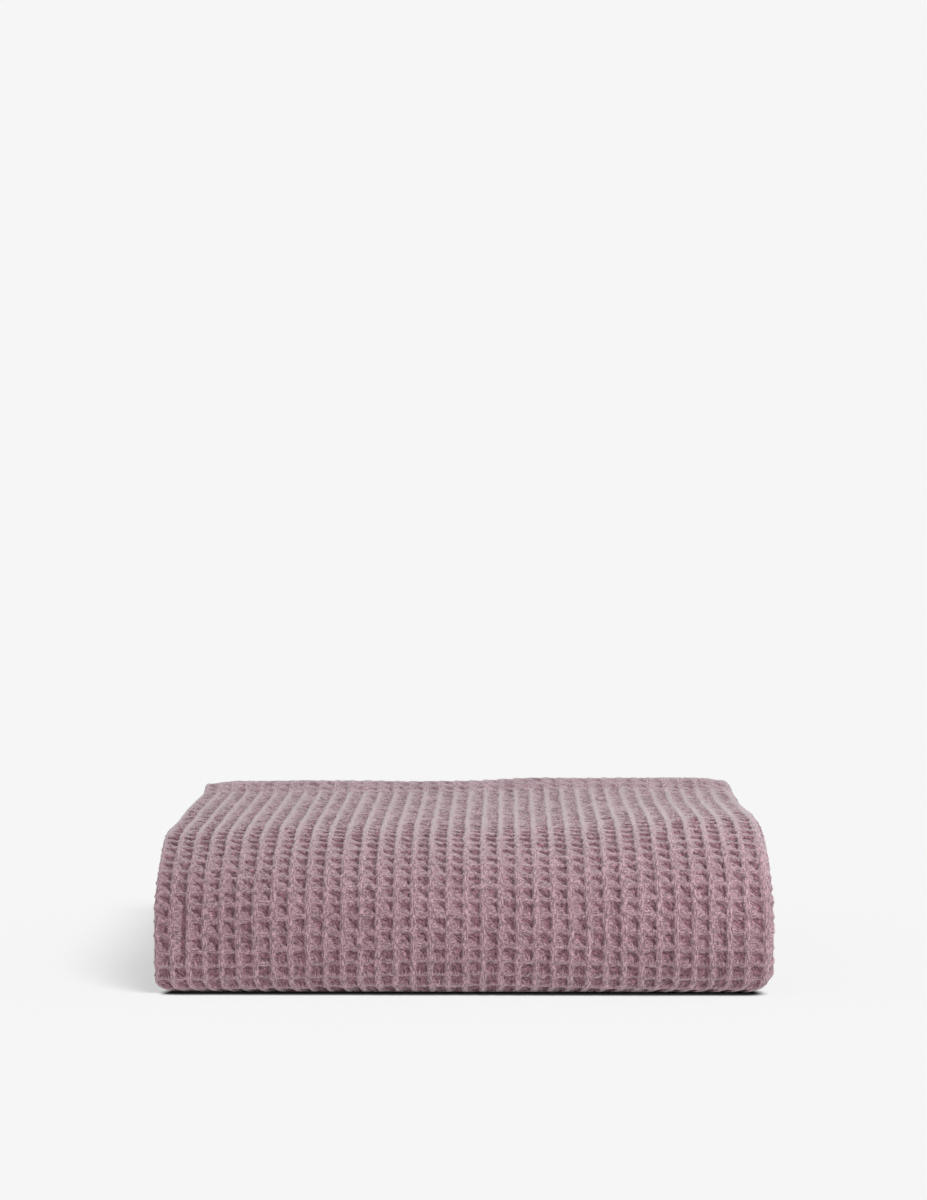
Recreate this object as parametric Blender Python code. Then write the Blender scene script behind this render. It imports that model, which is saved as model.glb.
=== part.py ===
"""A waffle weave cotton blanket, folded into a soft pad.

The blanket is one sheet of cloth. Its two long sides are folded in towards the middle line, and
the sheet is folded in half along that line, which makes a band four plies thick. The band is
folded in thirds, end to end, and then once more in half, so that six layers of it lie in a stack
behind one large soft fold. Metres, +Z up, the large fold towards -Y, and the origin at the
middle of the flat underside.
"""

import collections
import math

import bmesh
import bpy

# The folded blanket
WIDTH = 0.3735
DEPTH = 0.390

# The cloth, and the air between its plies and between the layers of the band
CLOTH = 0.0029
PLY_GAP = 0.00098
LAYER_GAP = 0.0014
PLIES = 4
LAYERS = 6
PLY_PITCH = CLOTH + PLY_GAP
BAND = PLIES * CLOTH + (PLIES - 1) * PLY_GAP
LAYER_PITCH = BAND + LAYER_GAP
STACK = LAYERS * LAYER_PITCH - LAYER_GAP

# Across the band: how far its two free edges stop short of the right side, and its points
EDGE_INSET = 0.0120
PLY_STOPS = (-0.60, -0.10, 0.35, 0.75)  # shares of the half width
SMALL_FOLD_STEPS = 4
LARGE_FOLD_STEPS = 6

# Along the band: every flat stretch has its points at the same places, so the layers stay apart
FLAT_STOPS = (-0.110, -0.030, 0.050, 0.120)
LEAST_STRETCH = 0.012
START_Y = DEPTH / 2 - 0.009
END_Y = DEPTH / 2 - 0.013

# The puffed ridge that the top layer climbs before it turns down at the back
RIDGE_RISE = 0.006
RIDGE_RUN = 0.028
RIDGE_STEPS = 4

FRONT, BACK = -1, 1
FACE, REVERSE = 1, -1

Turn = collections.namedtuple(
    "Turn", "side reach low high waist low_run high_run lift out rising steps"
)
# One row for each fold across the band: the side it bulges to, how far it reaches, the two
# layers it joins, the height of its outermost line, how far from there its lower and upper
# halves run, how much its top is lifted, the cloth's side that is out, and which way it goes.
# A fold with no waist is round.
TURNS = {
    "front outer": Turn(
        FRONT, -DEPTH / 2, 1, 6, 0.0392, 0.0252, 0.1000, 0.0, FACE, True, 7
    ),
    "front middle": Turn(
        FRONT, 0.0224 - DEPTH / 2, 2, 5, 0.0420, 0.0203, 0.0775, 0.0, REVERSE, False, 5
    ),
    "front inner": Turn(
        FRONT, 0.0690 - DEPTH / 2, 3, 4, None, None, None, 0.0, FACE, True, 3
    ),
    "back upper": Turn(BACK, DEPTH / 2, 5, 6, None, None, None, RIDGE_RISE, FACE, False, 3),
    "back lower": Turn(BACK, DEPTH / 2 - 0.005, 2, 3, None, None, None, 0.0, REVERSE, True, 3),
}

Stretch = collections.namedtuple("Stretch", "kind name left right pace")
# The band from its lower free end to its upper one. left and right are the distances from the
# middle plane to the band's two sides where the stretch ends, and a pace over 1 gets there sooner.
START_SIDES = (0.1830, 0.1820)
ROUTE = (
    Stretch("flat", 1, 0.1780, 0.1770, 1.0),
    Stretch("low", "front outer", WIDTH / 2, WIDTH / 2, 2.6),
    Stretch("high", "front outer", 0.1860, 0.1840, 1.0),
    Stretch("flat", 6, 0.1840, 0.1835, 1.0),
    Stretch("ridge", "back upper", 0.1865, 0.1850, 1.0),
    Stretch("high", "back upper", 0.1855, 0.1830, 1.0),
    Stretch("low", "back upper", 0.1840, 0.1835, 1.0),
    Stretch("flat", 5, 0.1825, 0.1845, 1.0),
    Stretch("high", "front middle", 0.1835, 0.1845, 1.0),
    Stretch("low", "front middle", 0.1850, 0.1835, 1.0),
    Stretch("flat", 2, 0.1840, 0.1850, 1.0),
    Stretch("low", "back lower", 0.1850, 0.1840, 1.0),
    Stretch("high", "back lower", 0.1840, 0.1830, 1.0),
    Stretch("flat", 3, 0.1855, 0.1845, 1.0),
    Stretch("low", "front inner", 0.1840, 0.1850, 1.0),
    Stretch("high", "front inner", 0.1830, 0.1840, 1.0),
    Stretch("flat", 4, 0.1845, 0.1830, 1.0),
)

Swell = collections.namedtuple("Swell", "height x_none x_full y_none y_full")
# Where the top of the stack stands higher or lower than the rest
SWELLS = (
    Swell(0.0065, 0.060, 0.150, 0.040, -0.090),
    Swell(0.0024, -0.010, 0.060, 0.060, 0.150),
    Swell(-0.0030, 0.140, 0.190, 0.100, 0.175),
    Swell(-0.0015, -0.120, -0.180, 0.030, -0.060),
)

MAUVE = (0.322, 0.192, 0.221, 1.0)
ROUGHNESS = 0.95
SHARP_ANGLE = math.radians(50)

# A place along the band: a point of the cloth's face, the way the face looks, and the two sides
Station = collections.namedtuple("Station", "y z out_y out_z left right")
# A point across the band: x is share * half width + offset, and depth is below the face
Thread = collections.namedtuple("Thread", "share offset depth")


def ease(share):
    """A smooth step from 0 to 1."""
    share = min(1.0, max(0.0, share))
    return share * share * (3.0 - 2.0 * share)


def layer_base(layer):
    return (layer - 1) * LAYER_PITCH


def layer_top(layer):
    return layer_base(layer) + BAND


def heights_of(turn):
    """The lowest, outermost and highest heights of a fold's outer surface."""
    low = layer_base(turn.low)
    high = layer_top(turn.high) + turn.lift
    return low, turn.waist or (low + high) / 2, high


def run_of(turn, upper):
    """How far a fold's upper or lower half runs from its outermost line."""
    low, _, high = heights_of(turn)
    return (turn.high_run if upper else turn.low_run) or (high - low) / 2


def end_of(name, upper):
    """Where the upper or lower end of a fold meets its flat stretch."""
    turn = TURNS[name]
    return turn.reach - turn.side * run_of(turn, upper)


def half_turn(name, upper):
    """The stations of one half of a fold, an elliptic quarter, as points of the cloth's face."""
    turn = TURNS[name]
    low, waist, high = heights_of(turn)
    run = run_of(turn, upper)
    rise = high - waist if upper else low - waist
    points = []
    for step in range(turn.steps + 1):
        angle = math.pi / 2 * step / turn.steps
        out_y = turn.side * math.cos(angle) / run
        out_z = math.sin(angle) / rise
        length = math.hypot(out_y, out_z)
        out_y, out_z = out_y / length, out_z / length
        y = turn.reach - turn.side * run * (1.0 - math.cos(angle))
        z = waist + rise * math.sin(angle)
        if turn.out == REVERSE:
            y, z = y - BAND * out_y, z - BAND * out_z
            out_y, out_z = -out_y, -out_z
        points.append((y, z, out_y, out_z))
    return points if upper == turn.rising else points[::-1]


def ridge():
    """The top layer's climb to its back fold."""
    start = end_of("back upper", True) - RIDGE_RUN
    points = []
    for step in range(RIDGE_STEPS + 1):
        share = step / RIDGE_STEPS
        slope = RIDGE_RISE / RIDGE_RUN * 6.0 * share * (1.0 - share)
        length = math.hypot(slope, 1.0)
        z = layer_top(LAYERS) + RIDGE_RISE * ease(share)
        points.append((start + share * RIDGE_RUN, z, -slope / length, 1.0 / length))
    return points


def flat(layer):
    """A layer's flat stretch, from the fold or free end before it to the one after it."""
    start, end, face_up = {
        1: (START_Y, end_of("front outer", False), False),
        6: (end_of("front outer", True), end_of("back upper", True) - RIDGE_RUN, True),
        5: (end_of("back upper", False), end_of("front middle", True), False),
        2: (end_of("front middle", False), end_of("back lower", False), True),
        3: (end_of("back lower", True), end_of("front inner", False), False),
        4: (end_of("front inner", True), END_Y, True),
    }[layer]
    z = layer_top(layer) if face_up else layer_base(layer)
    near, far = min(start, end) + LEAST_STRETCH, max(start, end) - LEAST_STRETCH
    stops = [y for y in FLAT_STOPS if near < y < far]
    stops = [start] + (stops if end > start else stops[::-1]) + [end]
    return [(y, z, 0.0, 1.0 if face_up else -1.0) for y in stops]


def route():
    """The stations of the whole band, from its lower free end to its upper one."""
    stations = []
    old_left, old_right = START_SIDES
    for kind, name, left, right, pace in ROUTE:
        if kind == "flat":
            points = flat(name)
        elif kind == "ridge":
            points = ridge()
        else:
            points = half_turn(name, kind == "high")
        for index, point in enumerate(points):
            share = ease(pace * index / (len(points) - 1))
            if index or not stations:
                stations.append(
                    Station(
                        *point,
                        old_left + (left - old_left) * share,
                        old_right + (right - old_right) * share,
                    )
                )
        old_left, old_right = left, right
    return stations


def fold_arc(side, middle, radius, start_up, steps):
    """A fold of the cloth's middle line at one side of the band, with its outward normals."""
    points = []
    for step in range(steps + 1):
        angle = math.pi * step / steps
        across = side * math.sin(angle)
        down = -start_up * math.cos(angle)
        offset = -side * (radius + CLOTH / 2) + radius * across
        points.append((Thread(side, offset, middle + radius * down), (across, down)))
    return points


def ply(depth, rightwards, normal):
    stops = PLY_STOPS if rightwards else PLY_STOPS[::-1]
    return [(Thread(share, 0.0, depth), (0.0, normal)) for share in stops]


def section():
    """Both sides of the cloth across the band, from its one free edge to the other."""
    depths = [CLOTH / 2 + number * PLY_PITCH for number in range(PLIES)]
    first, second, third, fourth = depths
    line = [(Thread(1, -EDGE_INSET, second), (0.0, 1))]
    line += ply(second, False, 1)
    line += fold_arc(-1, (first + second) / 2, PLY_PITCH / 2, -1, SMALL_FOLD_STEPS)
    line += ply(first, True, -1)
    line += fold_arc(1, (first + fourth) / 2, (fourth - first) / 2, 1, LARGE_FOLD_STEPS)
    line += ply(fourth, False, 1)
    line += fold_arc(-1, (third + fourth) / 2, PLY_PITCH / 2, -1, SMALL_FOLD_STEPS)
    line += ply(third, True, -1)
    line += [(Thread(1, -EDGE_INSET, third), (0.0, -1))]
    outer, inner = [], []
    for thread, (across, down) in line:
        for side, threads in ((1, outer), (-1, inner)):
            half = side * CLOTH / 2
            threads.append(
                Thread(
                    thread.share, thread.offset + half * across, thread.depth + half * down
                )
            )
    return outer, inner


def lift_of(x, y):
    """How far the top of the stack is raised at a place."""
    return sum(
        swell.height
        * ease((x - swell.x_none) / (swell.x_full - swell.x_none))
        * ease((y - swell.y_none) / (swell.y_full - swell.y_none))
        for swell in SWELLS
    )


def place(station, thread):
    """The point of the cloth at a station of the band and a thread across it."""
    half = station.left if thread.share < 0 else station.right
    x = thread.share * half + thread.offset
    y = station.y - station.out_y * thread.depth
    z = station.z - station.out_z * thread.depth
    return x, y, z + lift_of(x, y) * ease(z / STACK)


def cloth_mesh():
    """The closed surface of the cloth: its section swept through every station."""
    outer, inner = section()
    loop = outer + inner[::-1]
    count = len(loop)
    mesh = bmesh.new()
    rings = [[mesh.verts.new(place(station, thread)) for thread in loop] for station in route()]
    for ring, following in zip(rings, rings[1:]):
        for index in range(count):
            after = (index + 1) % count
            corners = [ring[index], ring[after], following[after], following[index]]
            way = corners[2].co - corners[0].co
            if way.x * way.y < 0:
                corners = corners[1:] + corners[:1]
            mesh.faces.new(corners)
    for ring in (rings[0], rings[-1]):
        for index in range(len(outer) - 1):
            mesh.faces.new(
                (ring[index], ring[index + 1], ring[count - 2 - index], ring[count - 1 - index])
            )
    # Every ply is split along the same diagonals, so that none cuts into the next
    bmesh.ops.triangulate(mesh, faces=mesh.faces, quad_method="FIXED")
    bmesh.ops.recalc_face_normals(mesh, faces=mesh.faces)
    return mesh


def cotton():
    material = bpy.data.materials.new("mauve_cotton")
    material.use_nodes = True
    material.diffuse_color = MAUVE
    shader = material.node_tree.nodes["Principled BSDF"]
    shader.inputs["Base Color"].default_value = MAUVE
    shader.inputs["Roughness"].default_value = ROUGHNESS
    shader.inputs["Metallic"].default_value = 0.0
    return material


def build():
    for old in list(bpy.data.objects):
        bpy.data.objects.remove(old, do_unlink=True)
    collection = bpy.data.collections.new("waffle_blanket")
    bpy.context.scene.collection.children.link(collection)
    data = bpy.data.meshes.new("blanket")
    mesh = cloth_mesh()
    mesh.to_mesh(data)
    mesh.free()
    data.materials.append(cotton())
    data.shade_smooth()
    data.set_sharp_from_angle(angle=SHARP_ANGLE)
    collection.objects.link(bpy.data.objects.new("blanket", data))


build()
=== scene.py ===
"""The looks of a folded waffle weave cotton blanket.

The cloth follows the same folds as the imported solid: one sheet, folded to a band of four plies,
and the band folded into a stack of six layers behind one large fold. Here the sheet gets its
waffle relief. It is made in eight lengths that follow each other along the band. Metres, +Z up.
"""

import math
from collections import namedtuple

import bpy
import numpy as np
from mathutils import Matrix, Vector


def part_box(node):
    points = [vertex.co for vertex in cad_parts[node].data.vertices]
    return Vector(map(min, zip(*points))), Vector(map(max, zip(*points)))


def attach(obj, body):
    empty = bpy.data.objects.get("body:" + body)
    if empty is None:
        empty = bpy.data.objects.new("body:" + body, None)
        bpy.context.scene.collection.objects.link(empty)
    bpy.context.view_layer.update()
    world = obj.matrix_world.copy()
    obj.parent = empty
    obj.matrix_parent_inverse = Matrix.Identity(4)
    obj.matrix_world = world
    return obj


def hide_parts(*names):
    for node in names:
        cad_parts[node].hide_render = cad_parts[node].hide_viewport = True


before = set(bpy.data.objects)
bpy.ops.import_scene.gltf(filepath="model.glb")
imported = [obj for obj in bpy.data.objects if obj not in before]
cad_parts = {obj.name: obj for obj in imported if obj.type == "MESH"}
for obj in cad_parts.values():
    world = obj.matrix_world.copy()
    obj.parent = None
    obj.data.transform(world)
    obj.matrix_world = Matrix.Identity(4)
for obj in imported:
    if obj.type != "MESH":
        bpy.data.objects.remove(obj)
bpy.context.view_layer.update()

NODE = "blanket"
BODY = "root"

# The folded blanket, from its solid
low_corner, high_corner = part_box(NODE)
WIDTH = high_corner.x - low_corner.x
DEPTH = high_corner.y - low_corner.y

# The cloth, and the air between its plies and between the layers of the band
CLOTH = 0.0029
PLY_GAP = 0.00098
LAYER_GAP = 0.0014
PLIES = 4
LAYERS = 6
PLY_PITCH = CLOTH + PLY_GAP
BAND = PLIES * CLOTH + (PLIES - 1) * PLY_GAP
LAYER_PITCH = BAND + LAYER_GAP
STACK = LAYERS * LAYER_PITCH - LAYER_GAP
# How far the cloth's free edges lie inside the band's right side, and where its free ends lie
EDGE_INSET = 0.0120
START_Y = DEPTH / 2 - 0.009
END_Y = DEPTH / 2 - 0.013

# The puffed ridge that the top layer climbs before it turns down at the back
RIDGE_RISE = 0.006
RIDGE_RUN = 0.028

FRONT, BACK = -1, 1
FACE, REVERSE = 1, -1

Turn = namedtuple("Turn", "side reach low high waist low_run high_run lift out rising")
# One row for each fold across the band, as in the solid
TURNS = {
    "front outer": Turn(FRONT, -DEPTH / 2, 1, 6, 0.0392, 0.0252, 0.1000, 0.0, FACE, True),
    "front middle": Turn(
        FRONT, 0.0224 - DEPTH / 2, 2, 5, 0.0420, 0.0203, 0.0775, 0.0, REVERSE, False
    ),
    "front inner": Turn(FRONT, 0.0690 - DEPTH / 2, 3, 4, None, None, None, 0.0, FACE, True),
    "back upper": Turn(BACK, DEPTH / 2, 5, 6, None, None, None, RIDGE_RISE, FACE, False),
    "back lower": Turn(BACK, DEPTH / 2 - 0.005, 2, 3, None, None, None, 0.0, REVERSE, True),
}

Stretch = namedtuple("Stretch", "kind name left right pace")
# The band from its lower free end to its upper one, and the reach of its two sides at each end
START_SIDES = (0.1830, 0.1820)
ROUTE = (
    Stretch("flat", 1, 0.1780, 0.1770, 1.0),
    Stretch("low", "front outer", WIDTH / 2 + 0.0013, WIDTH / 2 + 0.0025, 2.6),
    Stretch("high", "front outer", 0.1872, 0.1860, 1.0),
    Stretch("flat", 6, 0.1860, 0.1862, 1.0),
    Stretch("ridge", "back upper", 0.1860, 0.1850, 1.0),
    Stretch("high", "back upper", 0.1835, 0.1815, 1.0),
    Stretch("low", "back upper", 0.1840, 0.1835, 1.0),
    Stretch("flat", 5, 0.1825, 0.1845, 1.0),
    Stretch("high", "front middle", 0.1835, 0.1845, 1.0),
    Stretch("low", "front middle", 0.1850, 0.1835, 1.0),
    Stretch("flat", 2, 0.1840, 0.1850, 1.0),
    Stretch("low", "back lower", 0.1850, 0.1840, 1.0),
    Stretch("high", "back lower", 0.1840, 0.1830, 1.0),
    Stretch("flat", 3, 0.1855, 0.1845, 1.0),
    Stretch("low", "front inner", 0.1840, 0.1850, 1.0),
    Stretch("high", "front inner", 0.1830, 0.1840, 1.0),
    Stretch("flat", 4, 0.1845, 0.1830, 1.0),
)
STRETCH_SAMPLES = 90

Swell = namedtuple("Swell", "height x_none x_full y_none y_full")
# Where the top of the stack stands higher or lower than the rest
SWELLS = (
    Swell(0.0065, 0.050, 0.150, 0.130, -0.110),
    Swell(0.0024, -0.010, 0.060, 0.060, 0.150),
    Swell(-0.0026, 0.160, 0.190, 0.100, 0.175),
    Swell(-0.0015, -0.120, -0.180, 0.030, -0.060),
    Swell(-0.0028, -0.160, -0.187, 0.150, 0.190),
)

# The weave: its cells, the first rib right of the middle, and the middle of a row of cells,
# measured from where the large fold leaves the floor
CELL_ACROSS = 0.01049
CELL_ALONG = 0.0098
RIB_AT = 0.0013
ROW_AT = 0.0477
# The rows sag towards the two sides. The columns crowd towards the left one, and spread where
# they go round the right one
ROW_SAG = 0.0042
CROWD, CROWD_NONE, CROWD_FULL = 0.0026, -0.130, -0.187
SPREAD, SPREAD_NONE, SPREAD_FULL = 0.0050, 0.178, 0.190

# A cell's depth, the deepest place of all and the depth of the ribs' crests, and half the width of
# the ribs between the columns (warp) and between the rows (weft), in shares of a cell
CELL_DEPTH = 0.0022
DEEPEST = 0.0025
CREST_DEPTH = 0.0001
WARP_RIB = 0.126
WEFT_RIB = 0.070
RIB_CROWN = 0.00022
# How wide the slopes into the cell are, in shares of its opening
LEFT_SLOPE, RIGHT_SLOPE, LOWER_SLOPE, UPPER_SLOPE = 0.15, 0.14, 0.26, 0.22
# How deep the weft ribs lie below the warp ribs, as a share of the depth, and how that varies
WEFT_SADDLE, SADDLE_SPREAD, SADDLE_CELLS = 0.09, 0.08, 3.0
DEPTH_SPREAD = 0.15
# Up to where the large fold's cells are pulled square, from the floor, and over what length
SQUARE_TO, SQUARE_FADE = 0.026, 0.022
# How deep the cloth bulges at the lower left of a cell, as a share of its depth, on the large fold
# and at its foot
PILLOW, FOOT_PILLOW = 0.22, 0.56
# How far the line round the bulge bows out, there and here, how it leans and curls in each cell
BOW, FOOT_BOW = 1.5, 2.6
LEAN_ACROSS, LEAN_ALONG = 0.12, 0.16
CURLING, CURL_SIZE = 0.12, 0.0030
# Beyond the bulge the cloth is tucked in. Distances from the cell's lower left, in openings
TUCK_AT, FOOT_TUCK_NEARER, TUCK_SLOPE = 0.64, 0.06, 0.34
# At the upper right it rises again, and it is higher at the left, both less so at the foot
RISE, RISE_AT, RISE_SLOPE = 0.42, 1.02, 0.24
LEFT_LIFT, FOOT_LIFT_LESS, LEFT_LIFT_WIDTH = 0.30, 0.20, 0.7
# Strands round the bulge: their height, their waves, how they bend and differ, where they start
STRAND_HEIGHT, STRAND_WAVES, STRAND_BEND, STRAND_PHASES = 0.00024, 3.2, 0.6, 0.4
STRANDS_AT, STRANDS_FADE = 0.25, 0.3
# Unevenness down each column, and how far apart neighbouring columns are in its noise
COLUMN_ROUGH, COLUMN_ROUGH_LENGTH, COLUMN_APART = 0.00035, 0.0060, 1.7
# By how much the weave is pulled flat where the top turns down, from just before the ridge
PULL, PULL_BEFORE, PULL_FADE = 0.5, 0.004, 0.012

# Painted shade, darker than the depth makes the colour: in dashes across the columns of the
# shoulder and, less so, the top, in the shoulder's cells, and at the foot of the large fold. Metres
# of depth
DASH_SHADE, SHOULDER_SHADE, FOOT_SHADE = 0.0026, 0.0013, 0.0003
DASH_WIDTH, DASH_LENGTH, DASH_GAIN, DASH_LESS = 0.0034, 0.0062, 2.2, 0.15
# Where they fade in and out, along the band from the start of the top
DASHES_AT, DASHES_FADE, DASHES_LESS, DASHES_LESS_OVER = -0.062, 0.040, 0.55, 0.120
DEEPER_AT, DEEPER_FADE, DEEPER_TO, DEEPER_END = -0.078, 0.034, 0.002, 0.040
# How far apart neighbouring cells are in the threads' own coordinates
CELLS_APART = (7.3, 5.1)

# Across a cell, the mesh has its stops closest where the slope is steep
CELL_STOPS = (0.0, 0.07, 0.14, 0.22, 0.31, 0.40, 0.49, 0.58, 0.66, 0.73, 0.785, 0.835, 0.885, 0.94)

SEED = 7


def ease(share):
    """A smooth step from 0 to 1."""
    share = np.clip(share, 0.0, 1.0)
    return share * share * (3.0 - 2.0 * share)


# ---------------------------------------------------------------- the band's way through the stack


def layer_base(layer):
    return (layer - 1) * LAYER_PITCH


def layer_top(layer):
    return layer_base(layer) + BAND


def heights_of(turn):
    low = layer_base(turn.low)
    high = layer_top(turn.high) + turn.lift
    return low, turn.waist or (low + high) / 2, high


def run_of(turn, upper):
    low, _, high = heights_of(turn)
    return (turn.high_run if upper else turn.low_run) or (high - low) / 2


def end_of(name, upper):
    turn = TURNS[name]
    return turn.reach - turn.side * run_of(turn, upper)


def half_turn(name, upper):
    """The outermost line of one half of a fold, and the way it looks."""
    turn = TURNS[name]
    low, waist, high = heights_of(turn)
    run = run_of(turn, upper)
    rise = high - waist if upper else low - waist
    angle = np.linspace(0.0, math.pi / 2, STRETCH_SAMPLES)
    out_y, out_z = turn.side * np.cos(angle) / run, np.sin(angle) / rise
    length = np.hypot(out_y, out_z)
    y = turn.reach - turn.side * run * (1.0 - np.cos(angle))
    z = waist + rise * np.sin(angle)
    line = np.array((y, z, out_y / length, out_z / length))
    return line if upper == turn.rising else line[:, ::-1]


def ridge():
    share = np.linspace(0.0, 1.0, STRETCH_SAMPLES)
    slope = RIDGE_RISE / RIDGE_RUN * 6.0 * share * (1.0 - share)
    length = np.hypot(slope, 1.0)
    y = end_of("back upper", True) - RIDGE_RUN * (1.0 - share)
    return np.array((y, layer_top(LAYERS) + RIDGE_RISE * ease(share), -slope / length, 1 / length))


def flat(layer):
    start, end, face_up = {
        1: (START_Y, end_of("front outer", False), False),
        6: (end_of("front outer", True), end_of("back upper", True) - RIDGE_RUN, True),
        5: (end_of("back upper", False), end_of("front middle", True), False),
        2: (end_of("front middle", False), end_of("back lower", False), True),
        3: (end_of("back lower", True), end_of("front inner", False), False),
        4: (end_of("front inner", True), END_Y, True),
    }[layer]
    y = np.linspace(start, end, STRETCH_SAMPLES)
    z, out_z = (layer_top(layer), 1) if face_up else (layer_base(layer), -1)
    return np.array((y, np.full_like(y, z), np.zeros_like(y), np.full_like(y, out_z)))


def route():
    """The band's line: for each distance along it, a point of the cloth's face, the way the face
    looks, and the reach of the two sides; and the distance at which each stretch starts."""
    rows, starts, travelled = [], {}, 0.0
    sides = np.array(START_SIDES)
    share = np.linspace(0.0, 1.0, STRETCH_SAMPLES)
    for stretch in ROUTE:
        if stretch.kind == "flat":
            line, reverse = flat(stretch.name), False
        elif stretch.kind == "ridge":
            line, reverse = ridge(), False
        else:
            line = half_turn(stretch.name, stretch.kind == "high")
            reverse = TURNS[stretch.name].out == REVERSE
        steps = np.hypot(*np.diff(line[:2], axis=1))
        along = travelled + np.concatenate(([0.0], np.cumsum(steps)))
        starts[stretch.kind, stretch.name] = travelled
        travelled = along[-1]
        if reverse:
            line = np.concatenate((line[:2] - BAND * line[2:], -line[2:]))
        reach = np.array((stretch.left, stretch.right))
        reached = sides[:, None] + (reach - sides)[:, None] * ease(stretch.pace * share)
        rows.append(np.concatenate((along[None], line, reached)))
        sides = reach
    starts["end"] = travelled
    return np.concatenate(rows, axis=1), starts


BAND_LINE, STARTS = route()
FOOT = STARTS["low", "front outer"]
SHOULDER = STARTS["flat", 6]
RIDGE = STARTS["ridge", "back upper"]
NOTCH = STARTS["flat", 5]


def stations(along):
    """The band's line at some distances along it: y, z, out_y, out_z, left and right."""
    found = [np.interp(along, BAND_LINE[0], row) for row in BAND_LINE[1:]]
    length = np.hypot(found[2], found[3])
    found[2], found[3] = found[2] / length, found[3] / length
    return [column[:, None] for column in found]


# ---------------------------------------------------------------- the cloth's way across the band

# A stop across the cloth: x is share * half width + offset, depth is below the face, across and
# down are its outer side's normal, u is the distance on that side from the middle of the face's
# ply, weave is how much of the relief it has, and inner says whether the inner side has it too
Stop = namedtuple("Stop", "share offset depth across down u weave inner")

SMALL_RADIUS = PLY_PITCH / 2
LARGE_RADIUS = (PLIES - 1) * PLY_PITCH / 2
SMALL_ARC = math.pi * (SMALL_RADIUS + CLOTH / 2)
LARGE_ARC = math.pi * (LARGE_RADIUS + CLOTH / 2)
LEFT_U = -(WIDTH / 2 - SMALL_RADIUS - CLOTH / 2)
RIGHT_U = WIDTH / 2 - LARGE_RADIUS - CLOTH / 2
PLY_DEPTHS = [CLOTH / 2 + number * PLY_PITCH for number in range(PLIES)]
NEAR_FOLD = 0.0015  # where a ply's own stops end, before a side fold
# How far the relief of a hidden ply reaches in from a side fold, and in how many steps it fades
FADE, FADE_STEPS = 0.0120, 5
COARSE_STOPS = (-0.75, -0.25, 0.25, 0.75)
CLOSE = -1  # for the stops of CELL_STOPS in each cell
CELLS_EACH_WAY = 20  # a few more than there are from the middle to either side
SHIFT_ROUNDS = 4  # to find where the moved column of a stop lies
SMALL_STEPS, LARGE_STEPS = 12, 24  # round the side folds
INNER_EVERY = 4  # steps of a side fold's inner side


def fold_stops(side, first, last, radius, u_start, steps):
    """A side fold from the depth first to the depth last."""
    stops = []
    down_way = 1 if last > first else -1
    for step in range(steps + 1):
        angle = math.pi * step / steps
        across = side * math.sin(angle)
        down = -down_way * math.cos(angle)
        offset = -side * (radius + CLOTH / 2) + radius * across
        depth = (first + last) / 2 + radius * down
        u = u_start + (radius + CLOTH / 2) * angle
        stops.append(Stop(side, offset, depth, across, down, u, 1.0, step % INNER_EVERY == 0))
    return stops


def ply_stops(depth, down, u_left, u_way, fine, rightwards):
    """One ply between its side folds. u_left is u where x is at the left fold's end."""
    left, right = LEFT_U + NEAR_FOLD, RIGHT_U - NEAR_FOLD
    spots = {}
    if fine:
        shares = CELL_STOPS if fine == CLOSE else [step / fine for step in range(fine)]
        for cell in range(-CELLS_EACH_WAY, CELLS_EACH_WAY):
            for step, share in enumerate(shares):
                level = x = RIB_AT + (cell + share) * CELL_ACROSS
                for _ in range(SHIFT_ROUNDS):
                    x = level + float(shift_of(x))
                if left <= x <= right:
                    spots[x] = (1.0, step == 0 and cell % 2 == 0)
    else:
        for share in COARSE_STOPS:
            spots[share * WIDTH / 2] = (0.0, True)
        for step in range(FADE_STEPS + 1):
            weave = 1.0 - ease(step / FADE_STEPS)
            spots[left + FADE * step / FADE_STEPS] = (weave, step == FADE_STEPS)
            spots[right - FADE * step / FADE_STEPS] = (weave, step == FADE_STEPS)
    stops = [
        Stop(x / (WIDTH / 2), 0.0, depth, 0.0, down, u_left + u_way * (x - LEFT_U), weave, inner)
        for x, (weave, inner) in sorted(spots.items())
    ]
    return stops if rightwards else stops[::-1]


def section(fine_face, fine_back):
    """The cloth across the band, from one free edge, inside the large side fold, to the other."""
    first, second, third, fourth = PLY_DEPTHS
    d_right = RIGHT_U + LARGE_ARC
    d_left = d_right + (RIGHT_U - LEFT_U)
    line = [Stop(1, -EDGE_INSET, second, 0.0, 1, 0.0, 0.0, True)]
    line += ply_stops(second, 1, LEFT_U - SMALL_ARC, -1, 0, False)[FADE_STEPS:]
    line += fold_stops(-1, second, first, SMALL_RADIUS, LEFT_U - SMALL_ARC, SMALL_STEPS)
    line += ply_stops(first, -1, LEFT_U, 1, fine_face, True)
    line += fold_stops(1, first, fourth, LARGE_RADIUS, RIGHT_U, LARGE_STEPS)
    line += ply_stops(fourth, 1, d_left, -1, fine_back, False)
    line += fold_stops(-1, fourth, third, SMALL_RADIUS, d_left, SMALL_STEPS)
    line += ply_stops(third, -1, d_left + SMALL_ARC, 1, 0, True)[:-FADE_STEPS]
    line += [Stop(1, -EDGE_INSET, third, 0.0, -1, 0.0, 0.0, True)]
    return line


# ---------------------------------------------------------------- the waffle relief


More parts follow.
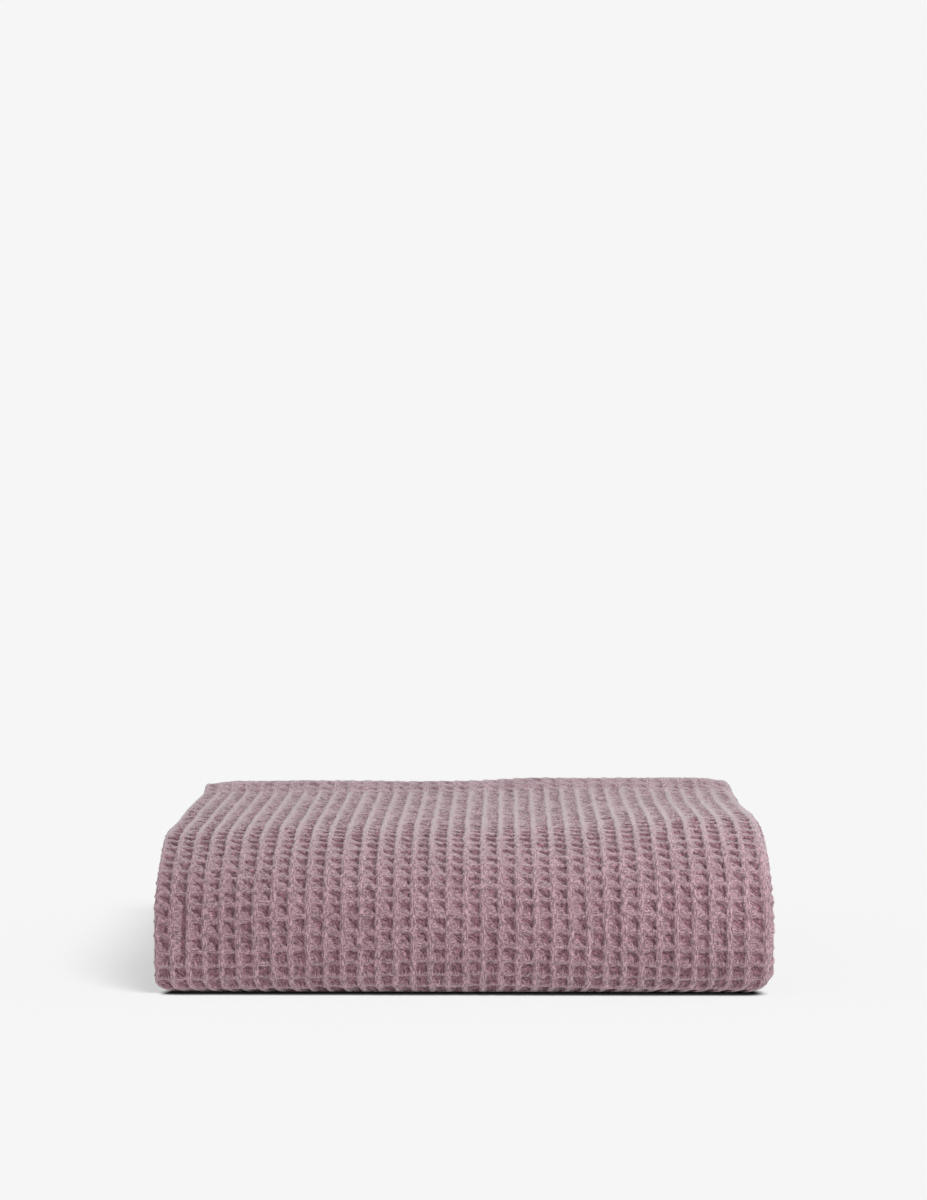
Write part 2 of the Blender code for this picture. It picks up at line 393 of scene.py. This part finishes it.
class Noise:
    """Smooth noise from -1 to 1 on a lattice that repeats."""

    def __init__(self, seed, size=256):
        self.size = size
        self.values = np.random.default_rng(seed).uniform(-1.0, 1.0, (size, size))

    def __call__(self, across, along):
        column, row = np.floor(across).astype(int), np.floor(along).astype(int)
        right, up = ease(across - column), ease(along - row)
        corner = [
            self.values[(column + i) % self.size, (row + j) % self.size]
            for i, j in ((0, 0), (1, 0), (0, 1), (1, 1))
        ]
        near = corner[0] + (corner[1] - corner[0]) * right
        far = corner[2] + (corner[3] - corner[2]) * right
        return near + (far - near) * up


(
    CELL_NOISE,
    TILT_ACROSS,
    TILT_ALONG,
    STRAND_PHASE,
    WANDER_ACROSS,
    WANDER_ALONG,
    RAGGED_ACROSS,
    RAGGED_ALONG,
    CURL,
    MID_NOISE,
    FINE_NOISE,
    BROAD_NOISE,
    COLUMN_NOISE,
    DASH_NOISE,
) = [Noise(SEED + number) for number in range(14)]


def shift_of(u):
    """How far the columns of cells are moved across the cloth."""
    crowded = CROWD * ease((u - CROWD_NONE) / (CROWD_FULL - CROWD_NONE))
    return crowded + SPREAD * ease((u - SPREAD_NONE) / (SPREAD_FULL - SPREAD_NONE))


Grain = namedtuple("Grain", "noise amount across along")
# How the columns and the rows wander slowly and how ragged they are, in shares of a cell
COLUMN_SWAYS = (
    Grain(WANDER_ACROSS, 0.035, 0.018, 0.013),
    Grain(RAGGED_ACROSS, 0.050, 0.0042, 0.0036),
)
ROW_SWAYS = (
    Grain(WANDER_ALONG, 0.060, 0.012, 0.018),
    Grain(RAGGED_ALONG, 0.105, 0.0034, 0.0040),
)
# Lumps of yarn and single loops, and how much of each there is on the ribs
LUMPS, LUMPS_ON_RIBS = Grain(MID_NOISE, 0.00032, 0.0021, 0.0016), 0.20
LOOPS, LOOPS_ON_RIBS = Grain(FINE_NOISE, 0.00020, 0.0011, 0.0011), 0.55
# The slack of the cloth: a low, wide unevenness
SLACK = Grain(BROAD_NOISE, 0.0004, 0.037, 0.031)


def grain_at(grain, u, along):
    return grain.amount * grain.noise(u / grain.across, along / grain.along)


def cells_at(u, along):
    """The column and the row at a place of the cloth, counted in cells."""
    sag = ROW_SAG * (1.0 - np.cos(np.clip(2.0 * np.pi * u / WIDTH, -np.pi, np.pi))) / 2.0
    column = (u - shift_of(u) - RIB_AT) / CELL_ACROSS
    row = (along + sag - FOOT - ROW_AT) / CELL_ALONG + 0.5
    for sway in COLUMN_SWAYS:
        column = column + grain_at(sway, u, along)
    for sway in ROW_SWAYS:
        row = row + grain_at(sway, u, along)
    return column, row


def tuck_of(a, arc, curl, square):
    """How far the cloth sinks at a place of a cell's opening, as a share of the cell's depth."""
    pillow = PILLOW + (FOOT_PILLOW - PILLOW) * square
    tuck = ease((arc - TUCK_AT + FOOT_TUCK_NEARER * square - CURLING * curl) / TUCK_SLOPE)
    rise = RISE * (1.0 - square) * ease((arc - RISE_AT - CURLING * curl) / RISE_SLOPE)
    tuck = tuck * (1.0 - rise)
    tuck = pillow + (1.0 - pillow) * tuck
    return tuck * (1.0 - (LEFT_LIFT - FOOT_LIFT_LESS * square) * (1.0 - ease(a / LEFT_LIFT_WIDTH)))


def painted_shade(u, along, i, in_column, in_cell, square):
    """How much darker the painted shade makes the colour than the depth makes it."""
    past = along - SHOULDER
    on_top = ease((past - DASHES_AT) / DASHES_FADE)
    on_top = on_top * (1.0 - DASHES_LESS * ease(past / DASHES_LESS_OVER))
    dashes = DASH_NOISE(u / DASH_WIDTH + COLUMN_APART * i, along / DASH_LENGTH)
    dashes = np.clip(DASH_GAIN * dashes - DASH_LESS, 0.0, 1.0)
    on_shoulder = ease((past - DEEPER_AT) / DEEPER_FADE)
    on_shoulder = on_shoulder * (1.0 - ease((past - DEEPER_TO) / DEEPER_END))
    darker = DASH_SHADE * dashes * on_top * in_column + FOOT_SHADE * square
    return darker + SHOULDER_SHADE * on_shoulder * in_cell


def relief(u, along):
    """How deep the cloth's surface lies below the crests of its ribs, how much darker painted shade
    makes its colour than that depth does, and its cell coordinates."""
    column, row = cells_at(u, along)
    i, j = np.floor(column), np.floor(row)
    right, up = column - i, row - j
    # across and upwards in the cell's opening, from 0 to 1
    a = (right - WARP_RIB) / (1.0 - 2.0 * WARP_RIB)
    b = (up - WEFT_RIB) / (1.0 - 2.0 * WEFT_RIB)
    between_warps = ease(a / LEFT_SLOPE) * ease((1.0 - a) / RIGHT_SLOPE)
    between_wefts = ease(b / LOWER_SLOPE) * ease((1.0 - b) / UPPER_SLOPE)
    # the cloth bulges at the lower left and is tucked in along an arc at the upper right
    curl = CURL(u / CURL_SIZE, along / CURL_SIZE)
    from_left = np.clip(a + LEAN_ACROSS * TILT_ACROSS(i, j), 0.0, 2.0)
    from_below = np.clip(b + LEAN_ALONG * TILT_ALONG(i, j), 0.0, 2.0)
    square = 1.0 - ease((along - FOOT - SQUARE_TO) / SQUARE_FADE)
    bow = BOW + (FOOT_BOW - BOW) * square
    arc = (from_left**bow + from_below**bow) ** (1.0 / bow)
    tuck = tuck_of(a, arc, curl, square)
    uneven = 1.0 + CURL(i / SADDLE_CELLS, j / SADDLE_CELLS)
    saddle = WEFT_SADDLE + SADDLE_SPREAD * (1.0 - square) * uneven
    opening = between_warps * (saddle + (1.0 - saddle) * between_wefts)
    depth = CELL_DEPTH * tuck * opening * (1.0 + DEPTH_SPREAD * CELL_NOISE(i, j))
    waves = STRAND_WAVES * arc + STRAND_BEND * curl + STRAND_PHASES * STRAND_PHASE(i, j)
    strands = np.sin(2.0 * np.pi * waves)
    depth += STRAND_HEIGHT * strands * between_warps * ease((arc - STRANDS_AT) / STRANDS_FADE)
    rough = COLUMN_NOISE(i * COLUMN_APART, along / COLUMN_ROUGH_LENGTH)
    depth += COLUMN_ROUGH * rough * between_warps
    for grain, on_ribs in ((LUMPS, LUMPS_ON_RIBS), (LOOPS, LOOPS_ON_RIBS)):
        depth += grain_at(grain, u, along) * (on_ribs + (1.0 - on_ribs) * between_warps)
    from_rib = np.minimum(right, 1.0 - right) / WARP_RIB
    depth += CREST_DEPTH + RIB_CROWN * np.minimum(from_rib, 1.0) ** 2
    pulled = 1.0 - PULL * ease((along - RIDGE + PULL_BEFORE) / PULL_FADE)
    darker = painted_shade(u, along, i, between_warps, tuck * between_warps * between_wefts, square)
    places = (arc + CELLS_APART[0] * i, from_left - from_below + CELLS_APART[1] * j, between_warps)
    return np.clip(depth * pulled, 0.0, DEEPEST), darker, np.stack(places, axis=-1)


# Tucks of the large fold: u and along the middle of each, half its length and width, its depth,
# and the width of the smooth cloth at its left
Crease = namedtuple("Crease", "u along half_length half_width depth smooth")
CREASES = (Crease(-0.1672, 0.0530, 0.0200, 0.0023, 0.0028, 0.0085),)
CREASE_END = 2.2  # a tuck has its depth within 1 / 2.2 of its half length from its ends
CREASE_SWAY, CREASE_SWAY_LENGTH = 0.0005, 0.010
# How much of the relief is gone from the smooth cloth, and how it comes back at its sides
SMOOTHED, SMOOTH_FALL, SMOOTH_FULL = 0.65, 1.6, 0.4


def creases(u, along):
    """How deep the tucks are, and how much of the waffle relief is left beside them."""
    depth = np.zeros(np.broadcast(u, along).shape)
    left = np.ones(depth.shape)
    for crease in CREASES:
        from_middle = np.abs(along - FOOT - crease.along) / crease.half_length
        reach = ease(CREASE_END * (1.0 - from_middle))
        sway = CREASE_SWAY * WANDER_ACROSS(crease.u, along / CREASE_SWAY_LENGTH)
        bend = u - crease.u - sway
        depth += crease.depth * reach * ease(1.0 - np.abs(bend) / crease.half_width)
        beside = np.abs(bend / crease.smooth + 0.5)
        left *= 1.0 - SMOOTHED * reach * ease(1.0 - beside * SMOOTH_FALL + SMOOTH_FULL)
    return depth, left


# ---------------------------------------------------------------- the cloth in space


def lift_of(x, y):
    """How far the top of the stack is raised at a place."""
    return sum(
        swell.height
        * ease((x - swell.x_none) / (swell.x_full - swell.x_none))
        * ease((y - swell.y_none) / (swell.y_full - swell.y_none))
        for swell in SWELLS
    )


def place(along, share, offset, depth):
    """Points of the cloth at some distances along the band and some threads across it."""
    y, z, out_y, out_z, left, right = stations(along)
    x = share * np.where(share < 0, left, right) + offset
    y = y - out_y * depth
    z = z - out_z * depth
    return np.stack((x + 0 * y, y + 0 * x, z + lift_of(x, y) * ease(z / STACK)), axis=-1)


# One length of the cloth: where it starts and ends along the band, the stations for each row of
# cells, and how fine the mesh is across the face and the back of the band
Length = namedtuple("Length", "name start end rows fine_face fine_back")
HEM, HEM_FADE = 0.0120, 0.002
# The rounding of the free ends: its length, how much thinner the very end is, and its stops
END_ROUND, END_TAPER, END_STOPS = 0.0016, 0.9, (0.06, 0.22, 0.5, 0.8)
# By how much the weave is flattened on the floor, and how far up the large fold
PRESSED, PRESSED_REACH = 0.0018, 0.017
THINNEST = 0.0003  # of the cloth, under the deepest cell
BEYOND = 0.0003  # how far outside a length its end normals are taken


def surface(stops, along, side):
    """The outer (1) or inner (-1) side of the cloth, and its weave coordinates."""
    share, offset, depth, across, down, u, weave = (
        np.array([getattr(stop, name) for stop in stops], float)[None]
        for name in ("share", "offset", "depth", "across", "down", "u", "weave")
    )
    from_end = np.minimum(along, STARTS["end"] - along)
    ends = np.clip(1.0 - from_end / END_ROUND, 0.0, 1.0)
    half = (CLOTH / 2 * np.sqrt(np.maximum(1.0 - END_TAPER * ends**2, 0.0)))[:, None]
    cell = sunk = darker = 0.0
    in_cell = np.zeros((along.size, u.size, 3))
    if side > 0:
        hem = ease((from_end - HEM) / HEM_FADE)[:, None]
        tuck, left = creases(u, along[:, None])
        woven, darker, in_cell = relief(u, along[:, None])
        cell = weave * (woven * hem * left + tuck)
        slack = weave * (SLACK.amount + grain_at(SLACK, u, along[:, None])) * hem
        pressed = PRESSED * (1.0 - ease((along - FOOT) / PRESSED_REACH))[:, None]
        sunk = np.clip(cell + slack - pressed, 0.0, CLOTH - THINNEST)
    out = side * half - sunk
    points = place(along, share, offset + across * out, depth + down * out)
    # the depth that sets the colour: the cell's depth plus painted shade
    shade = cell + weave * darker + 0 * points[..., 0]
    coordinates = np.stack(np.broadcast_arrays(u, along[:, None], shade), axis=-1)
    return points, np.concatenate((coordinates, in_cell), axis=-1)


def stops_along(length):
    """Distances along the band, so many for each row of cells."""
    step = CELL_ALONG / length.rows
    count = max(2, round((length.end - length.start) / step))
    along = np.linspace(length.start, length.end, count + 1)
    ends = [END_ROUND * share for share in END_STOPS]
    if length.start == 0.0:
        along = np.concatenate(([0.0], ends, along[1:]))
    if length.end == STARTS["end"]:
        along = np.concatenate((along[:-1], [length.end - x for x in ends[::-1]], along[-1:]))
    return along


def normals_of(points):
    """Normals of a closed ring of points at each station but the first and the last."""
    around = np.roll(points, -1, axis=1) - np.roll(points, 1, axis=1)
    lengthwise = points[2:] - points[:-2]
    normal = np.cross(lengthwise, around[1:-1])
    return normal / np.maximum(np.linalg.norm(normal, axis=-1, keepdims=True), 1e-12)


def cloth_length(length, material):
    """One length of the cloth as a closed mesh."""
    stops = section(length.fine_face, length.fine_back)
    inner_stops = [stop for stop in stops if stop.inner]
    along = stops_along(length)
    wide = np.concatenate(([along[0] - BEYOND], along, [along[-1] + BEYOND]))
    outer, outer_weave = surface(stops, wide, 1)
    inner, inner_weave = surface(inner_stops, wide, -1)
    rings = np.concatenate((outer, inner[:, ::-1]), axis=1)
    weave = np.concatenate((outer_weave, inner_weave[:, ::-1]), axis=1)[1:-1]
    normals = normals_of(rings)
    rings = rings[1:-1]
    count_along, count = rings.shape[:2]
    index = np.arange(count_along * count).reshape(count_along, count)
    after = np.roll(index, -1, axis=1)
    quads = np.stack((index[:-1], index[1:], after[1:], after[:-1]), axis=-1).reshape(-1, 4)
    last = (count_along - 1) * count
    near_cap = cap(stops, count)
    far_cap = [[corner + last for corner in face[::-1]] for face in near_cap]
    faces = near_cap + far_cap
    corners = np.concatenate((quads.ravel(), np.concatenate(faces)))
    sizes = np.concatenate((np.full(len(quads), 4), [len(face) for face in faces]))
    mesh = bpy.data.meshes.new(length.name)
    mesh.vertices.add(count_along * count)
    mesh.vertices.foreach_set("co", rings.ravel())
    mesh.loops.add(len(corners))
    mesh.loops.foreach_set("vertex_index", corners.astype(np.int32))
    mesh.polygons.add(len(sizes))
    mesh.polygons.foreach_set("loop_start", (np.cumsum(sizes) - sizes).astype(np.int32))
    mesh.update(calc_edges=True)
    layout = mesh.uv_layers.new(name="OFBake")
    layout.uv.foreach_set("vector", flat_layout(stops, rings, along, near_cap).astype(np.float32))
    mesh.validate()
    mesh.shade_smooth()
    mesh.normals_split_custom_set_from_vertices(normals.reshape(-1, 3))
    for name, values in (("weave", weave[..., :3]), ("cell", weave[..., 3:])):
        attribute = mesh.attributes.new(name, "FLOAT_VECTOR", "POINT")
        attribute.data.foreach_set("vector", values.ravel().astype(np.float32))
    mesh.materials.append(material)
    piece = bpy.data.objects.new(length.name, mesh)
    bpy.context.scene.collection.objects.link(piece)
    return piece


def cap(stops, count):
    """Faces that close the cloth's cut across the band, one between each two inner stops."""
    inner = [number for number, stop in enumerate(stops) if stop.inner]
    return [
        list(range(start, end + 1)) + [count - 2 - number, count - 1 - number]
        for number, (start, end) in enumerate(zip(inner, inner[1:]))
    ]


# The layout for the baked finish: how much room the smooth outer and the inner side get, where the
# woven side has 1, and the parts of its height for the cloth and for its two cut ends
SMOOTH_ROOM, INNER_ROOM = 0.12, 0.06
CLOTH_STRIP = 0.96
CAP_STRIPS = ((0.970, 0.980), (0.988, 0.998))


def flat_layout(stops, rings, along, near_cap):
    """The piece laid flat for its baked finish, with most of the room for the woven side."""
    middle = rings[len(rings) // 2]
    widths = np.linalg.norm(np.roll(middle, -1, axis=0) - middle, axis=1)
    woven = np.array([stop.weave > 0.0 for stop in stops])
    room = np.full(len(widths), INNER_ROOM)
    room[: len(stops) - 1] = np.where(woven[:-1] & woven[1:], 1.0, SMOOTH_ROOM)
    spots = np.concatenate(([0.0], np.cumsum(widths * room)))
    spots /= spots[-1]
    rows = CLOTH_STRIP * (along - along[0]) / (along[-1] - along[0])
    left, low = np.meshgrid(spots[:-1], rows[:-1])
    right, high = np.meshgrid(spots[1:], rows[1:])
    quads = np.stack((left, low, left, high, right, high, right, low), axis=-1).ravel()
    caps = []
    for (low, high), way in zip(CAP_STRIPS, (1, -1)):
        for face in near_cap:
            outer = face[:-2]
            corners = [(spots[k], low) for k in outer]
            corners += [(spots[outer[-1]], high), (spots[outer[0]], high)]
            caps += corners[::way]
    return np.concatenate((quads, np.ravel(caps)))


# ---------------------------------------------------------------- the finish

# The colour from the ribs' crests to the deepest places, darker with depth as painted shade in the
# cells, and the depths where it changes
RIB_COLOUR = (0.293, 0.184, 0.210, 1.0)
CELL_SHADE_COLOUR = (0.196, 0.097, 0.121, 1.0)
SHALLOW, DEEP = 0.0003, 0.0021
SHEEN_TINT = (0.97, 1.0, 1.0, 1.0)
SHEEN_WEIGHT, SHEEN_ROUGHNESS = 0.50, 0.45
ROUGHNESS, SPECULAR = 0.92, 0.2

Yarn = namedtuple("Yarn", "scale detail distortion dark light")
# Threads along the warp ribs, along the weft ribs and round the bulge in a cell, and loose fuzz
WARP_YARN = Yarn((1200.0, 270.0, 0.0), 2.0, 0.4, 0.34, 0.66)
WEFT_YARN = Yarn((330.0, 1150.0, 0.0), 2.0, 1.2, 0.34, 0.66)
BULGE_YARN = Yarn((9.0, 2.2, 0.0), 2.0, 0.6, 0.36, 0.64)
FUZZ_YARN = Yarn((1000.0, 1080.0, 0.0), 3.0, 0.0, 0.34, 0.66)
# Uneven dye, and how strongly each of these shows in the colour and in the bump
DYE_SCALE, DYE_DETAIL = (26.0, 22.0, 0.0), 2.0
THREAD_SHARE, FUZZ_SHARE, DYE_SHARE = 0.46, 0.26, 0.20
FUZZ_IN_BUMP, BUMP_STRENGTH, BUMP_DISTANCE = 0.35, 0.6, 0.0004
# The depths over which weft threads give way to the bulge's, and warp threads to both
BULGE_FROM, BULGE_TO = 0.0005, 0.0010
COLUMN_FROM, COLUMN_TO = 0.2, 0.7


def cotton():
    """Matt dusty mauve cotton, paler on its ribs and darker in its cells with painted shade, with
    threads and fuzz.
    """
    material = bpy.data.materials.new("mauve_waffle_cotton")
    material.use_nodes = True
    tree = material.node_tree
    shader = tree.nodes["Principled BSDF"]
    shader.inputs["Roughness"].default_value = ROUGHNESS
    shader.inputs["Specular IOR Level"].default_value = SPECULAR
    shader.inputs["Sheen Weight"].default_value = SHEEN_WEIGHT
    shader.inputs["Sheen Roughness"].default_value = SHEEN_ROUGHNESS
    shader.inputs["Sheen Tint"].default_value = SHEEN_TINT

    def place_of(name):
        node = tree.nodes.new("ShaderNodeAttribute")
        node.attribute_name = name
        return node.outputs["Vector"]

    def depth_of(vector):
        node = tree.nodes.new("ShaderNodeSeparateXYZ")
        tree.links.new(vector, node.inputs[0])
        return node.outputs["Z"]

    weave, cell = place_of("weave"), place_of("cell")
    depth, between_ribs = depth_of(weave), depth_of(cell)

    def ramp(value, start, end):
        node = tree.nodes.new("ShaderNodeMapRange")
        node.interpolation_type = "SMOOTHSTEP"
        node.inputs["From Min"].default_value = start
        node.inputs["From Max"].default_value = end
        tree.links.new(value, node.inputs["Value"])
        return node.outputs["Result"]

    def noise(vector, scale, detail, distortion=0.0):
        mapping = tree.nodes.new("ShaderNodeMapping")
        mapping.inputs["Scale"].default_value = scale
        texture = tree.nodes.new("ShaderNodeTexNoise")
        texture.inputs["Scale"].default_value = 1.0
        texture.inputs["Detail"].default_value = detail
        texture.inputs["Distortion"].default_value = distortion
        tree.links.new(vector, mapping.inputs["Vector"])
        tree.links.new(mapping.outputs["Vector"], texture.inputs["Vector"])
        return texture.outputs["Fac"]

    def yarn(vector, kind):
        texture = noise(vector, kind.scale, kind.detail, kind.distortion)
        return ramp(texture, kind.dark, kind.light)

    def mix(kind, factor, first, second):
        node = tree.nodes.new("ShaderNodeMix")
        node.data_type = "RGBA"
        node.blend_type = kind
        sockets = node.inputs[0], node.inputs[6], node.inputs[7]
        for socket, value in zip(sockets, (factor, first, second)):
            if isinstance(value, bpy.types.NodeSocket):
                tree.links.new(value, socket)
            else:
                socket.default_value = value
        return node.outputs[2]

    sunk, in_column = ramp(depth, BULGE_FROM, BULGE_TO), ramp(between_ribs, COLUMN_FROM, COLUMN_TO)
    threads = mix("MIX", sunk, yarn(weave, WEFT_YARN), yarn(cell, BULGE_YARN))
    threads = mix("MIX", in_column, yarn(weave, WARP_YARN), threads)
    fuzz = yarn(weave, FUZZ_YARN)

    # painted shade: the colour darkens with depth into the cells
    colour = mix("MIX", ramp(depth, SHALLOW, DEEP), RIB_COLOUR, CELL_SHADE_COLOUR)
    colour = mix("OVERLAY", THREAD_SHARE, colour, threads)
    colour = mix("OVERLAY", FUZZ_SHARE, colour, fuzz)
    colour = mix("SOFT_LIGHT", DYE_SHARE, colour, noise(weave, DYE_SCALE, DYE_DETAIL))
    tree.links.new(colour, shader.inputs["Base Color"])

    bump = tree.nodes.new("ShaderNodeBump")
    bump.inputs["Strength"].default_value = BUMP_STRENGTH
    bump.inputs["Distance"].default_value = BUMP_DISTANCE
    tree.links.new(mix("MIX", FUZZ_IN_BUMP, threads, fuzz), bump.inputs["Height"])
    tree.links.new(bump.outputs["Normal"], shader.inputs["Normal"])
    return material


# ---------------------------------------------------------------- camera, floor and light

CAMERA_PLACE = (0.0252, -2.400, 0.3165)
CAMERA_LENS = 110.25
CAMERA_DOWN = math.radians(1.995)
CAMERA_LEFT = math.radians(0.647)

WHITE = (1.0, 1.0, 1.0, 1.0)
BACKDROP = 0.922
ROOM_LIGHT = 0.70
# A round softbox near the front right, and the floor's own light, which casts the shadow
KEY_PLACE, KEY_AIM = Vector((0.70, -0.62, 0.52)), Vector((0.0, -0.15, 0.05))
KEY_SIZE = 0.42
KEY_LIGHT = 5.6
# A weak, very soft light from above and behind
TOP_LIGHT_FROM = Vector((0.05, 0.40, 1.0))
TOP_LIGHT_SPREAD = math.radians(80)
TOP_LIGHT = 1.35
FLOOR_LIGHT_FROM = Vector((0.50, -0.85, 1.0))
FLOOR_LIGHT_SPREAD = math.radians(28)
FLOOR_LIGHT = 3.9 * math.pi
# The floor: what the camera sees of it, with its own glow, and the one that lights the blanket
FLOOR_HALF = 30.0
SEEN_ALBEDO = 0.10
FLOOR_GLOW = 0.572
BOUNCE_ALBEDO = 0.36
# Painted contact shadow: the glow goes out and the floor turns dark in the gap under the blanket's
# rounded edges:
# how high that gap is, how open a place is where the glow goes out and comes back, and the dark
# floor there
GAP_SHADOW_ALBEDO, GAP_HEIGHT, GAP_SAMPLES = 0.01, 0.016, 16
GAP_CLOSED, GAP_OPEN = 0.40, 0.62


def add_camera():
    data = bpy.data.cameras.new("camera")
    data.lens = CAMERA_LENS
    data.sensor_width = 36.0
    data.clip_start, data.clip_end = 0.05, 60.0
    camera = bpy.data.objects.new("camera", data)
    camera.location = CAMERA_PLACE
    camera.rotation_euler = (math.pi / 2 - CAMERA_DOWN, 0.0, CAMERA_LEFT)
    bpy.context.scene.collection.objects.link(camera)
    bpy.context.scene.camera = camera


def seen_by_camera(tree):
    """1 for what the camera sees straight, and 0 for light that falls on other things."""
    return tree.nodes.new("ShaderNodeLightPath").outputs["Is Camera Ray"]


def diffuse(tree, albedo):
    shader = tree.nodes.new("ShaderNodeBsdfDiffuse")
    shader.inputs["Color"].default_value = (albedo, albedo, albedo, 1.0)
    return shader.outputs[0]


def add_floor():
    """A pale, faintly glowing floor, even but for the blanket's shadow and a painted contact
    shadow.
    """
    corners = [(x * FLOOR_HALF, y * FLOOR_HALF, 0) for x, y in ((-1, -1), (1, -1), (1, 1), (-1, 1))]
    mesh = bpy.data.meshes.new("floor")
    mesh.from_pydata(corners, [], [(0, 1, 2, 3)])
    material = bpy.data.materials.new("floor")
    material.use_nodes = True
    tree = material.node_tree
    tree.nodes.remove(tree.nodes["Principled BSDF"])
    # painted contact shadow: where the blanket hems the floor in, the floor turns dark
    gap = tree.nodes.new("ShaderNodeAmbientOcclusion")
    gap.samples = GAP_SAMPLES
    gap.inputs["Distance"].default_value = GAP_HEIGHT
    shown = tree.nodes.new("ShaderNodeMapRange")
    shown.inputs["From Min"].default_value = GAP_CLOSED
    shown.inputs["From Max"].default_value = GAP_OPEN
    tree.links.new(gap.outputs["AO"], shown.inputs["Value"])
    emission = tree.nodes.new("ShaderNodeEmission")
    emission.inputs["Strength"].default_value = FLOOR_GLOW
    lit = tree.nodes.new("ShaderNodeAddShader")
    tree.links.new(diffuse(tree, SEEN_ALBEDO), lit.inputs[0])
    tree.links.new(emission.outputs[0], lit.inputs[1])
    seen = tree.nodes.new("ShaderNodeMixShader")
    tree.links.new(shown.outputs["Result"], seen.inputs[0])
    tree.links.new(diffuse(tree, GAP_SHADOW_ALBEDO), seen.inputs[1])
    tree.links.new(lit.outputs[0], seen.inputs[2])
    chosen = tree.nodes.new("ShaderNodeMixShader")
    tree.links.new(seen_by_camera(tree), chosen.inputs[0])
    tree.links.new(diffuse(tree, BOUNCE_ALBEDO), chosen.inputs[1])
    tree.links.new(seen.outputs[0], chosen.inputs[2])
    tree.links.new(chosen.outputs[0], tree.nodes["Material Output"].inputs["Surface"])
    mesh.materials.append(material)
    floor = bpy.data.objects.new("floor", mesh)
    bpy.context.scene.collection.objects.link(floor)
    return floor


def add_lamp(kind, energy, place, way):
    data = bpy.data.lights.new("lamp", kind)
    data.energy = energy
    lamp = bpy.data.objects.new("lamp", data)
    lamp.location = place
    lamp.rotation_euler = way.to_track_quat("Z", "Y").to_euler()
    bpy.context.scene.collection.objects.link(lamp)
    return lamp


def add_light(floor, blanket):
    """A soft key light from the front right, a weak one from above and the floor's own, in an even
    room that the camera sees as pale."""
    world = bpy.data.worlds.new("studio")
    bpy.context.scene.world = world
    world.use_nodes = True
    tree = world.node_tree
    background = tree.nodes["Background"]
    background.inputs["Color"].default_value = WHITE
    strength = tree.nodes.new("ShaderNodeMapRange")
    strength.inputs["To Min"].default_value = ROOM_LIGHT
    strength.inputs["To Max"].default_value = BACKDROP
    tree.links.new(seen_by_camera(tree), strength.inputs["Value"])
    tree.links.new(strength.outputs["Result"], background.inputs["Strength"])

    key = add_lamp("AREA", KEY_LIGHT, KEY_PLACE, KEY_PLACE - KEY_AIM)
    key.data.shape = "DISK"
    key.data.size = KEY_SIZE
    key.light_linking.receiver_collection = blanket
    above = add_lamp("SUN", TOP_LIGHT, (0.0, 0.0, 2.0), TOP_LIGHT_FROM)
    above.data.angle = TOP_LIGHT_SPREAD
    above.light_linking.receiver_collection = blanket
    on_floor = add_lamp("SUN", FLOOR_LIGHT, (0.0, 0.0, 2.0), FLOOR_LIGHT_FROM)
    on_floor.data.angle = FLOOR_LIGHT_SPREAD
    on_floor.light_linking.receiver_collection = bpy.data.collections.new("floor only")
    on_floor.light_linking.receiver_collection.objects.link(floor)
    bpy.context.scene.view_settings.view_transform = "Standard"


# ---------------------------------------------------------------- the scene

add_camera()
blanket = bpy.data.collections.new("blanket only")
add_light(add_floor(), blanket)

TOP_MID = SHOULDER + 10 * CELL_ALONG
FRONT_MID = FOOT + ROW_AT + 3.5 * CELL_ALONG
BACK_REACH = 0.012
BACK_IN, BACK_OUT = STARTS["low", "back lower"] - BACK_REACH, STARTS["flat", 3] + BACK_REACH
LENGTHS = (
    Length("blanket_under", 0.0, FOOT - CELL_ALONG, 4, 5, 0),
    Length("blanket_front_low", FOOT - CELL_ALONG, FRONT_MID, 12, CLOSE, 0),
    Length("blanket_front_high", FRONT_MID, SHOULDER, 12, CLOSE, 0),
    Length("blanket_top_front", SHOULDER, TOP_MID, 8, CLOSE, 0),
    Length("blanket_top_back", TOP_MID, NOTCH, 6, 10, 0),
    Length("blanket_upper_layers", NOTCH, BACK_IN, 5, 0, 0),
    Length("blanket_back", BACK_IN, BACK_OUT, 6, 0, 8),
    Length("blanket_lower_layers", BACK_OUT, STARTS["end"], 5, 0, 0),
)

material = cotton()
for length in LENGTHS:
    piece = cloth_length(length, material)
    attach(piece, BODY)
    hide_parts(NODE)
    blanket.objects.link(piece)
